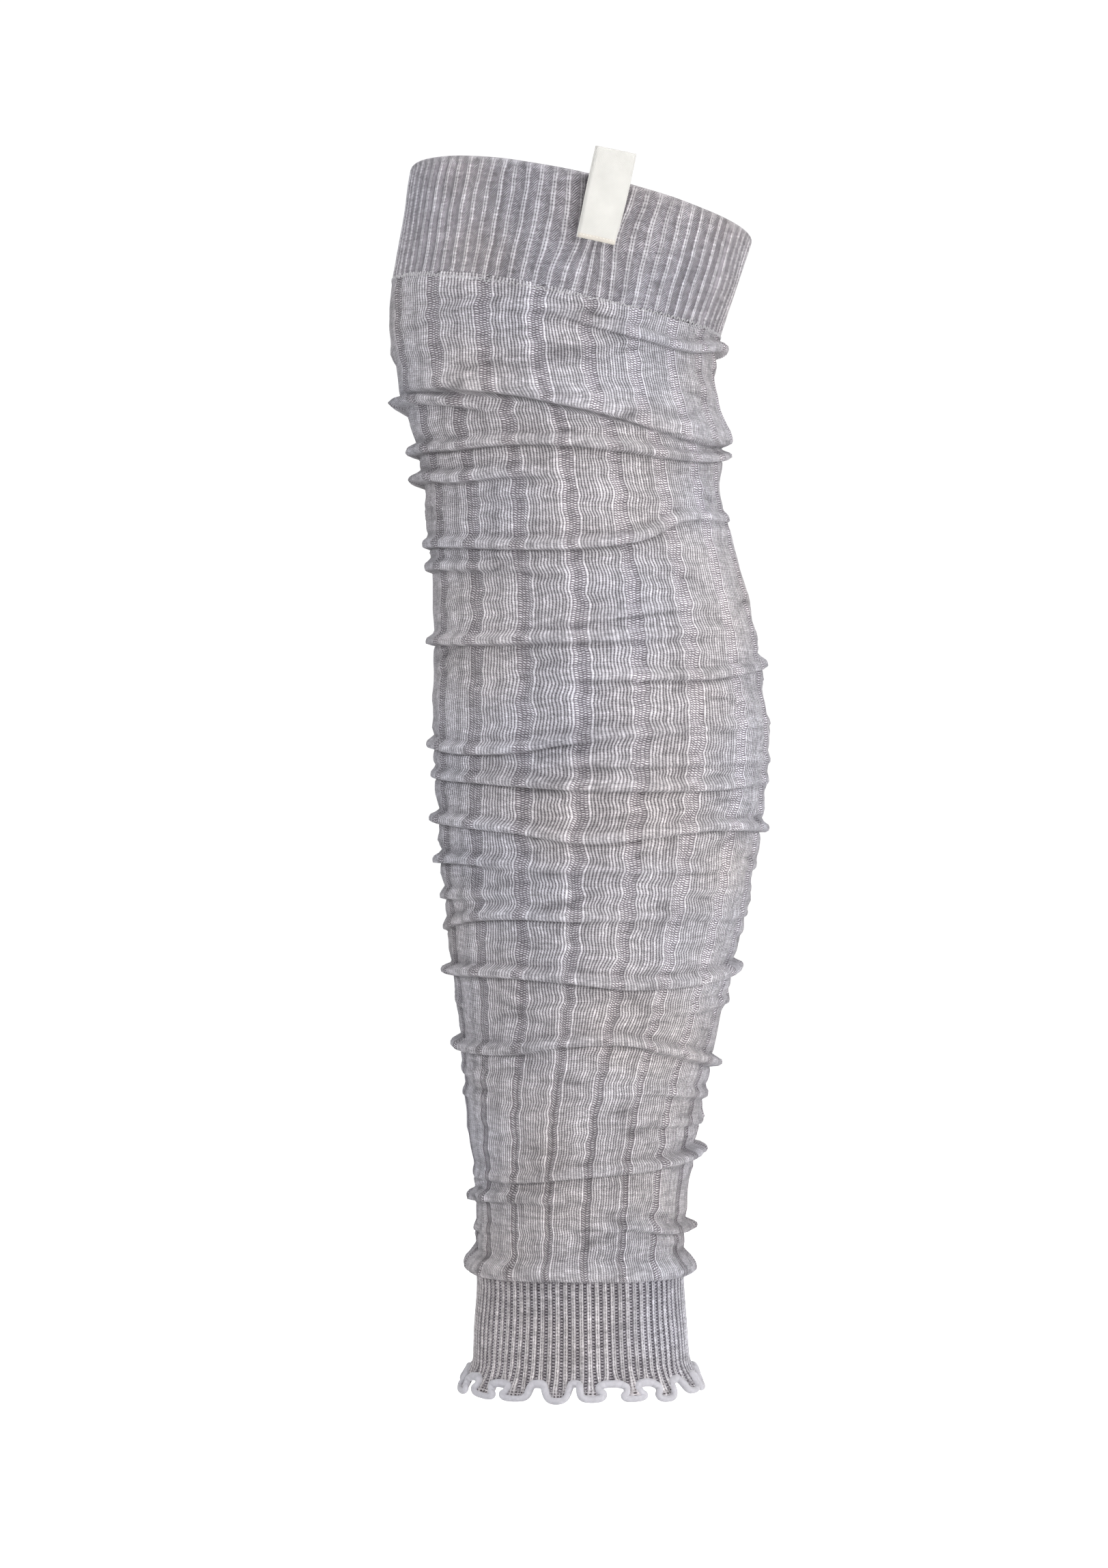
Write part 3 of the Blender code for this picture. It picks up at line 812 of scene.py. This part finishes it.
def makeLeg():
    ribs, shape = legKnit["ribs"], legKnit["fold"]
    turns, strandsRound, relief, inRib = legColumns()
    crests = [roundCurve(foldTurns, fold[0], turns) for fold in slouchFolds]
    rises = []
    for k, fold in enumerate(slouchFolds):
        uneven = 1 + ringRipples(turns, 9, shape["uneven"], 40 + k)
        flatter = 1 - shape["flatter"] * np.sin(turns) ** 2
        rises.append(np.clip(roundCurve(foldTurns, fold[1], turns), 0, None) * uneven * flatter)
    top, bottom = aroundLeg(thighSeamHeights, turns), aroundLeg(ankleSeamHeights, turns)
    heights = legRows(top, bottom, crests)
    out, hang, sway, paintedShade, crestHighlight = foldLift(turns, heights, crests, rises)

    # the strips narrow, and the ribs drift and lean with the cloth
    half = legKnit["stripShare"] / 2
    inRib = inRib - np.round(inRib)  # from a strip's middle
    narrow = half * np.interp(heights, legKnit["stripHeights"], legKnit["stripWidths"])
    narrow = narrow * (1 + ripples(turns, heights, [(9, 12, 40, 0.1)], 21))
    opened = np.interp(heights, legKnit["openedHeights"], (0, 1))
    opened = opened * (0.5 + 0.5 * np.cos(turns - legKnit["openedTurn"]))
    beyond = narrow + (np.abs(inRib) - half) * (0.5 - narrow) / (0.5 - half)
    moved = np.where(np.abs(inRib) < half, inRib * narrow / half, np.sign(inRib) * beyond)
    placed = turns + (moved - inRib) * fullTurn / ribs
    turnGrid = placed + ribTwist(placed, heights, crests[shape["lap"]]) - sway / legKnit["swayRadius"]
    turnGrid += ripples(turns, heights, [(5, 7, 18, 0.006), (14, 5, 12, 0.005)], 15)

    waves = ripples(turnGrid, heights, [(4, 16, 40, 0.25), (9, 9, 18, 0.14)], 5)
    dents, dentShade = smallCrumples(turnGrid, heights)
    ends = np.clip(np.minimum(top - heights, heights - bottom) / legKnit["calmEnds"], 0, 1)
    swell = np.clip(out / 3, 0, 1)  # the strips stand out where the cloth is bent over a fold
    reliefGrid = relief * (1 - 1.5 * swell * (relief < -0.01))
    out = out + (waves + dents) * ends
    base, outer = onLeg(turnGrid, heights, out), onLeg(turnGrid, heights, out + reliefGrid)
    for grid in (base, outer):
        grid[..., 2] -= hang * ends

    rows, columns = legKnit["innerGrid"]
    few = evenTurns(columns)
    innerTop, innerBottom = aroundLeg(thighSeamHeights, few), aroundLeg(ankleSeamHeights, few)
    innerHeights = innerTop + (innerBottom - innerTop) * np.linspace(0, 1, rows)[:, None]
    inner = onLeg(few + 0 * innerHeights, innerHeights, -(legKnit["wall"] + legKnit["ribRise"]))
    course = legKnit["course"]
    strandsTotal = ribs * legKnit["rib"]
    piece = clothPiece("legKnit", outer, inner, strandsRound, strandsTotal, stitchCount(base, course), course)
    # painted shade of the fold creases and crumple dents, taken off the yarn's tone
    markPoints(piece, "paintedShade", np.maximum(paintedShade, dentShade))
    markPoints(piece, "crestHighlight", crestHighlight)
    markPoints(piece, "opened", opened)
    markPoints(piece, "drawnIn", np.interp(heights, legKnit["drawnInHeights"], (1, 0)))
    triangles = sum(len(face.vertices) - 2 for face in piece.data.polygons)
    print("  rows", len(heights), "columns", len(turns), "triangles", triangles)
    return piece


legPiece = makeLeg()
legPiece.data.materials.append(knitMaterial("wide rib knit", legKnit))

print("thigh cuff")

thighKnit = {
    "ribs": 80,
    "strip": 2,
    "rib": 4,
    "knitShare": 0.38,  # of a rib's pitch, for its two strands
    "ribRise": 0.7,
    "wall": 1.3,
    "rim": 1.0,  # radius of the rolled rim
    "rimAngles": (90, 60, 35, 14),
    "innerRimAngles": (60, 30, 0),
    "innerRows": 23,
    "innerColumns": 200,
    "rolled": (1, 1, 1, 1, 0.8, 0.6, 0.35, 0.12),  # how much each row belongs to the rim, from the top
    "ribStart": 2.2,  # mm below the rim where the ribs are at their full relief
    "calmFoot": 3,
    "course": 1.2,
    "rowSpacing": 0.75,
    "look": {
        "loops": "rungs", "edge": 1.0, "bright": 0.9, "sharpness": 1.0, "bridge": 0.92, "thinness": 1.0,
        "tilt": 2.0, "rungs": 1.2,
    },
    # the ribs are drawn together under the label, and a painted shadow of it lies beside it in a shallow dent
    "pinch": {
        "turn": math.radians(278.6), "height": -7, "width": 13, "strength": 0.5, "above": 16, "below": 10,
        "shadeAt": 8.4, "shadeWidth": 3.4, "shadeFoot": 8, "slant": 0.1, "slantFrom": 10,
        "dent": 1.9, "shade": 0.6,
    },
}


def cuffColumns(knit):
    # one narrow rib: a purl ladder, then two strands with a groove between them
    half = knit["knitShare"] / 2
    shares = [half, half + 0.09, 0.5, 1 - half - 0.09, 1 - half, 1 - 0.55 * half, 1, 1 + 0.55 * half]
    strands = [0, 0.35, 1, 1.65, 2, 2.45, 3, 3.55, knit["rib"]]
    relief = np.array([-0.5, -1, -1, -1, -0.5, 0, -0.25, 0]) * knit["ribRise"]
    turns, strandsRound = ribColumns(knit["ribs"], shares, strands)
    return turns, strandsRound, np.tile(relief, knit["ribs"])


def cuffPiece(name, knit, outer, inner, strandsRound, plain):
    # plain is the outer cloth without its relief, along which the courses are counted
    down = stitchCount(plain, knit["course"])
    strandsTotal = knit["ribs"] * knit["rib"]
    return clothPiece(name, outer, inner, strandsRound, strandsTotal, down, knit["course"]), down


def rimRows(turns, angles, shares, inset, side):
    # rows round the rolled rim and then down to the seam: how far out each is, and its height
    rim, foot = aroundLeg(rimHeights, turns), aroundLeg(thighSeamHeights, turns) + seamGap
    radius = thighKnit["rim"]
    angles = np.radians(angles)[:, None]
    outs = np.concatenate([side * radius * (1 - np.cos(angles)) - inset, 0 * shares - inset])
    top = rim - radius
    heights = np.concatenate([rim - radius * (1 - np.sin(angles)), top + (foot - top) * shares])
    return outs, heights, rim, foot


def makeThighCuff():
    turns, strandsRound, relief = cuffColumns(thighKnit)
    rise = np.mean(aroundLeg(rimHeights, turns) - aroundLeg(thighSeamHeights, turns)) - seamGap
    count = round(float(rise) / thighKnit["rowSpacing"])
    shares = np.linspace(0, 1, count)[:, None]
    outs, heights, rim, foot = rimRows(turns, thighKnit["rimAngles"], shares, 0, -1)
    rimStands = 0.1 * np.cos(np.radians(thighKnit["rimAngles"]))[:, None]
    stands = 0.2 + shares * count * thighKnit["rowSpacing"] / thighKnit["ribStart"]
    stands = np.concatenate([rimStands, np.minimum(1, stands)])

    pinch = thighKnit["pinch"]
    beside = (turns - pinch["turn"]) * thighRadius
    level = heights - pinch["height"]
    near = bell(beside / pinch["width"]) * bell(level / np.where(level > 0, pinch["above"], pinch["below"]))
    turnGrid = turns - pinch["strength"] * beside * near / thighRadius
    turnGrid = turnGrid + ripples(turns, heights, [(6, 30, 70, 0.004), (14, 14, 30, 0.0025)], 8)
    waves = ripples(turns, heights, [(3, 40, 90, 0.25), (9, 18, 40, 0.16)], 9)
    beside = beside - pinch["slant"] * (heights - pinch["slantFrom"])
    # a shallow dent left of the label, which also carries the label's painted shadow
    dent = bell((beside + pinch["shadeAt"]) / pinch["shadeWidth"])
    dent = dent * np.clip((heights + pinch["shadeFoot"]) / pinch["shadeFoot"], 0, 1)
    dent = dent * np.clip((rim - heights) / 3, 0, 1)
    waves = (waves - pinch["dent"] * dent) * np.clip((heights - foot) / thighKnit["calmFoot"], 0, 1)
    outer = onLeg(turnGrid, heights, outs + relief * stands + waves)

    few = evenTurns(thighKnit["innerColumns"])
    steps = np.linspace(0, 1, thighKnit["innerRows"] + 1)[1:, None]
    inset = thighKnit["wall"] + thighKnit["ribRise"]
    innerOuts, innerHeights, *_ = rimRows(few, thighKnit["innerRimAngles"], steps, inset, 1)
    inner = onLeg(few + 0 * innerHeights, innerHeights, innerOuts)
    plain = onLeg(turns, heights, outs + 0 * relief)
    piece, _ = cuffPiece("thighCuffKnit", thighKnit, outer, inner, strandsRound, plain)
    rolled = np.zeros(heights.shape)
    rolled[:len(thighKnit["rolled"])] = np.array(thighKnit["rolled"])[:, None]
    innerRim = np.ones(len(thighKnit["innerRimAngles"]) * len(few))
    markPoints(piece, "rolled", np.append(rolled, innerRim))
    # painted shadow of the label on the cuff beside it
    markPoints(piece, "paintedShade", pinch["shade"] * dent)
    return piece


thighPiece = makeThighCuff()
thighPiece.data.materials.append(knitMaterial("thigh rib knit", thighKnit))

print("ankle cuff and hem")

ankleKnit = {
    "ribs": 80,
    "strip": 2,
    "rib": 4,
    "knitShare": 0.54,
    "ribRise": 0.7,
    "wall": 1.3,
    "course": 1.15,
    "length": 36,
    "ruffleFrom": 0.7,  # of the way down, where the rows of points are closer
    "rows": (27, 26),
    "innerRows": (12, 12),
    "innerColumns": 320,
    # the turns where the hem hangs lowest, in degrees
    "lows": (
        15.5, 37, 59, 80, 102, 123, 144.5, 166, 188, 213.8, 235, 257.8, 274.5, 296.7, 315.2, 336.8, 356,
    ),
    # how wide each low is next to the high after it
    "lowWidths": (0.1, -0.3, 0.2, -0.2, 0, 0.3, -0.2, 0.1, -0.1, 0.2, 0.35, 0.05, 0.1, -0.25, -0.1, 0.2, 0),
    "ruffleLength": 8.5,
    "flare": 2.8,
    "ruffleOut": 1.6,
    "ruffleDrop": 2.7,
    "flatness": 1.25,  # how flat the waves are at their tops and bottoms
    "sway": 0.036,  # how far the waves lean over themselves, in radians
    "sewn": 2.6,  # courses of the hem that the thread covers
    "look": {
        "loops": "ladder", "edge": 1.0, "bright": 0.96, "sharpness": 1.0, "bridge": 0.92, "thinness": 1.6,
        "tilt": 0.15, "rungs": 1.0,
    },
}


def hemPhase(turn):
    # a whole turn of phase for each wave of the hem, nought at its lowest point
    lows = np.radians(ankleKnit["lows"])
    waves = len(lows)
    knots = np.concatenate([lows - fullTurn, lows, lows + fullTurn])
    phase = (np.arange(3 * waves) - waves) * fullTurn
    return smoothCurve(knots, phase.astype(float), turn)


def ruffled(turn, share, out):
    # the ankle cuff's cloth, share of the way from its seam to the hem
    seam, hem = aroundLeg(ankleSeamHeights, turn) - seamGap, aroundLeg(hemHeights, turn)
    height = seam + (hem - seam) * share
    strength = np.clip(1 - (height - hem) / ankleKnit["ruffleLength"], 0, 1)
    phase = hemPhase(turn)
    phase = phase - roundCurve(np.radians(ankleKnit["lows"]), ankleKnit["lowWidths"], turn) * np.sin(phase)
    flatness = ankleKnit["flatness"]
    wave = np.tanh(flatness * np.cos(phase)) / np.tanh(flatness)
    size = 1 + ringRipples(turn, 8, 0.2, 31)
    uneven = 1 + ringRipples(turn, 7, 0.5, 44)
    lean = ankleKnit["sway"] * uneven * np.sin(2 * phase) * strength**2.5
    push = (ankleKnit["flare"] + ankleKnit["ruffleOut"] * wave * size) * strength**2
    points = onLeg(turn + lean, height, out + push)
    points[..., 2] -= ankleKnit["ruffleDrop"] * (wave + ringRipples(turn, 11, 0.16, 52)) * strength**2
    return points


def cuffShares(rows):
    # from the seam to the hem, with closer rows in the ruffle
    start = ankleKnit["ruffleFrom"]
    return np.concatenate([np.linspace(0, start, rows[0]), np.linspace(start, 1, rows[1])[1:]])[:, None]


def makeAnkleCuff():
    turns, strandsRound, relief = cuffColumns(ankleKnit)
    shares = cuffShares(ankleKnit["rows"])
    calm = np.clip(shares * 10, 0, 1) * np.clip((1 - shares) * 8, 0, 1)
    waves = ripples(turns, shares * ankleKnit["length"], [(5, 25, 60, 0.2)], 12) * calm
    outer = ruffled(turns + 0 * shares, shares, relief + waves)
    few = evenTurns(ankleKnit["innerColumns"])
    steps = cuffShares(ankleKnit["innerRows"])
    inner = ruffled(few + 0 * steps, steps, -(ankleKnit["wall"] + ankleKnit["ribRise"]))
    plain = ruffled(turns + 0 * shares, shares, 0 * relief)
    piece, down = cuffPiece("ankleCuffKnit", ankleKnit, outer, inner, strandsRound, plain)
    lows = np.clip(0.5 + 0.9 * np.cos(hemPhase(turns)), 0, 1)
    markPoints(piece, "sewn", np.clip(ankleKnit["sewn"] - (down[-1] - down), 0, 1) * lows)
    return piece


anklePiece = makeAnkleCuff()
anklePiece.data.materials.append(knitMaterial("ankle rib knit", ankleKnit))

hemRoll = {
    "radius": 1.45,
    "fuller": 0.14,  # it stands fatter where the hem draws in
    "below": 0.8,  # from the cloth's end to the middle of the roll
    "clothDepth": 2.0,
    "pointsPerWave": 84,
    "sides": 16,
    "smoothing": 3,
}


def beforeAndAfter(ring):
    return np.roll(ring, 1, axis=0), np.roll(ring, -1, axis=0)


def cordMesh(name, centre, outward, radii, wrap, sides):
    # a closed cord along a ring of points, with its wraps counted along it
    before, after = beforeAndAfter(centre)
    tangent = after - before
    tangent /= np.linalg.norm(tangent, axis=1)[:, None]
    first = outward - (outward * tangent).sum(1)[:, None] * tangent
    first /= np.linalg.norm(first, axis=1)[:, None]
    second = np.cross(tangent, first)
    angles = evenTurns(sides)
    ring = np.cos(angles)[:, None] * first[:, None] + np.sin(angles)[:, None] * second[:, None]
    points = centre[:, None] + ring * radii[:, None, None]
    length = np.concatenate([[0], np.cumsum(np.linalg.norm(after - centre, axis=1))])
    wraps = length / length[-1] * round(length[-1] / wrap)
    corners, row, column = gridQuads(len(centre), sides, (True, True), (0, 3, 2, 1))
    return meshPiece(name, points, corners.tolist(), "wraps", np.stack([wraps[row], column / sides], -1))


def makeHemRoll():
    turns = evenTurns(len(ankleKnit["lows"]) * hemRoll["pointsPerWave"])
    one = np.ones(len(turns))
    outerEdge, innerEdge = ruffled(turns, one, 0), ruffled(turns, one, -hemRoll["clothDepth"])
    edge = (outerEdge + innerEdge) / 2
    before, after = beforeAndAfter(edge)
    downward = np.cross(outerEdge - innerEdge, after - before)
    downward *= -np.sign(np.where(abs(downward[:, 2:]) < 1e-9, -1, downward[:, 2:]))
    downward /= np.linalg.norm(downward, axis=1)[:, None]
    centre = edge + downward * hemRoll["below"] + (outerEdge - edge) * 0.5
    for _ in range(hemRoll["smoothing"]):
        before, after = beforeAndAfter(centre)
        centre = (before + 2 * centre + after) / 4
    fuller = 1 - hemRoll["fuller"] * np.cos(hemPhase(turns))
    lumps = 1 + ripples(turns, 0.0, [(24, 10, 20, 0.07), (90, 10, 20, 0.04)], 3)
    radii = hemRoll["radius"] * fuller * lumps
    return cordMesh("hemRoll", centre, outerEdge - innerEdge, radii, thread["wrap"], hemRoll["sides"])


hemPiece = makeHemRoll()
hemPiece.data.materials.append(threadMaterial("overlock thread"))

print("label and seams")

label = {
    "turn": math.radians(278.6),
    "radius": 64.2,  # mm of cloth to a radian under it
    "width": 14.2,
    "foot": -6.1,
    "top": 26.4,
    "slant": 0.185,
    "bow": 0.5,  # its side edges aren't quite straight
    "gap": 0.35,  # between the cuff and the back layer
    "lift": 2.4,  # how far the fold at the top stands off the cuff
    "layers": 0.75,  # middle of one layer to the middle of the other, half way up
    "backLift": 0.97,
    "straight": 0.985,  # of its height, up to the fold
    "fold": 0.015,
    "foldSteps": 8,
    "slip": -0.5,  # the back layer lies a little to the shin side
    "sag": 0.12,
    "ribbon": 0.28,
    "rows": 40,
    "columns": 14,
}


def labelPoint(along, share, out):
    height = label["foot"] + (label["top"] - label["foot"]) * share - label["slant"] * along
    bow = label["bow"] * np.sin(math.pi * share) * (along / label["width"])
    return onLeg(label["turn"] + (along + bow) / label["radius"], height, out)


def labelPath():
    # one ribbon up the front, over the fold and down the back: share of its height, and how far out
    rows, steps = label["rows"], label["foldSteps"]
    path = []
    for k in range(rows + 1):
        share = k / rows * label["straight"]
        apart = label["layers"] * (0.45 + 0.55 * math.sin(math.pi * min(1, share * 1.05)) ** 0.5)
        path.append((share, label["gap"] + label["lift"] * share**2 + apart + 0.25 * share))
    frontTop, frontOut = path[-1]
    middle = (frontOut + label["gap"] + label["lift"] * label["backLift"]) / 2
    for k in range(1, steps):
        angle = math.pi * k / steps
        out = middle + (frontOut - middle) * math.cos(angle)
        path.append((frontTop + label["fold"] * math.sin(angle), out))
    for k in range(rows, -1, -1):
        share = k / rows * label["straight"]
        path.append((share, label["gap"] + label["lift"] * share**2 * label["backLift"]))
    return path


def makeLabel():
    along = np.linspace(-0.5, 0.5, label["columns"]) * label["width"]
    grid = []
    for k, (share, out) in enumerate(labelPath()):
        slip = label["slip"] if k > label["rows"] + label["foldSteps"] / 2 else 0
        sag = label["sag"] * np.sin(along / label["width"] * 5 + share * 9) * math.sin(math.pi * share)
        grid.append(labelPoint(along + slip, np.full_like(along, share), out + sag))
    grid = np.array(grid)
    steps = np.linalg.norm(np.diff(grid, axis=0), axis=2).mean(1)
    lengths = np.concatenate([[0], np.cumsum(steps)])
    corners, row, column = gridQuads(*grid.shape[:2], closed=(False, False))
    places = np.stack([along[column], lengths[row]], -1)
    piece = meshPiece("ribbonLabel", grid, corners.tolist(), "weave", places)
    thick = piece.modifiers.new("ribbon thickness", "SOLIDIFY")
    thick.thickness = label["ribbon"] * mm
    thick.offset = 0
    return piece


labelPiece = makeLabel()
labelPiece.data.materials.append(ribbonMaterial("ivory twill ribbon"))


def threadBits(name, ends, radius, sides=6):
    # many short thick stitches, each a small capsule between two points
    stops = ((0, 0.05), (0.1, 0.65), (0.3, 1), (0.7, 1), (0.9, 0.65), (1, 0.05))
    quads = gridQuads(len(stops), sides)[0]
    lastRing = (len(stops) - 1) * sides
    points, faces = [], []
    for start, end in ends:
        axis = end - start
        length = np.linalg.norm(axis)
        axis /= length
        first = np.cross(axis, (0.3, 0.5, 0.81))
        first /= np.linalg.norm(first)
        second = np.cross(axis, first)
        base = len(points)
        for share, size in stops:
            middle = start + axis * length * share
            for angle in evenTurns(sides):
                points.append(middle + radius * size * (math.cos(angle) * first + math.sin(angle) * second))
        faces += (quads + base).tolist()
        faces.append([base + j for j in reversed(range(sides))])
        faces.append([base + lastRing + j for j in range(sides)])
    return meshPiece(name, points, faces)


seamLoops = {
    "seed": 23, "count": 272, "stray": 0.12, "above": 0.1, "uneven": 0.25, "lean": 0.45, "reach": (0.5, 0.75),
    "out": 0.05, "radius": 0.34,
}


def makeSeamLoops():
    # a zigzag of loops over the gap between the leg and the thigh cuff
    kind = seamLoops
    dice = np.random.default_rng(kind["seed"])
    ends = []
    for k in range(kind["count"]):
        turn = np.array([(k + dice.uniform(-kind["stray"], kind["stray"])) / kind["count"] * fullTurn])
        uneven = dice.uniform(-kind["uneven"], kind["uneven"])
        height = aroundLeg(thighSeamHeights, turn) + kind["above"] + uneven
        reach = dice.uniform(*kind["reach"])
        lean = kind["lean"] / thighRadius * (1 if k % 2 else -1)
        ends.append([onLeg(turn + side * lean, height + side * reach, kind["out"])[0] for side in (-1, 1)])
    return threadBits("seamLoops", ends, kind["radius"])


seamPiece = makeSeamLoops()
seamPiece.data.materials.append(plainThread("seam yarn", sewingThread["seamColour"]))

labelStitches = {"count": 11, "inset": 0.8, "half": 0.42, "share": 0.035, "above": 0.32, "radius": 0.16}


def makeLabelStitches():
    kind = labelStitches
    out = label["gap"] + 0.45 * label["layers"] + kind["above"]
    ends = []
    for k in range(kind["count"]):
        along = (k / (kind["count"] - 1) - 0.5) * (label["width"] - 2 * kind["inset"])
        share = np.array([kind["share"]])
        ends.append([labelPoint(np.array([along + side * kind["half"]]), share, out)[0] for side in (-1, 1)])
    return threadBits("labelStitches", ends, kind["radius"])


labelSewing = makeLabelStitches()
labelSewing.data.materials.append(plainThread("label sewing", sewingThread["labelColour"]))

print("pieces")

for piece, node, slot in (
    (legPiece, "leg_tube", "grey_rib_knit"),
    (thighPiece, "thigh_cuff", "grey_rib_knit"),
    (anklePiece, "ankle_cuff", "grey_rib_knit"),
    (hemPiece, "overlocked_edge", "pale_overlock_thread"),
    (labelPiece, "loop_label", "ivory_ribbon"),
    (seamPiece, None, "grey_rib_knit"),
    (labelSewing, None, "ivory_ribbon"),
):
    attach(piece, "root")
    if node:
        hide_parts(node)
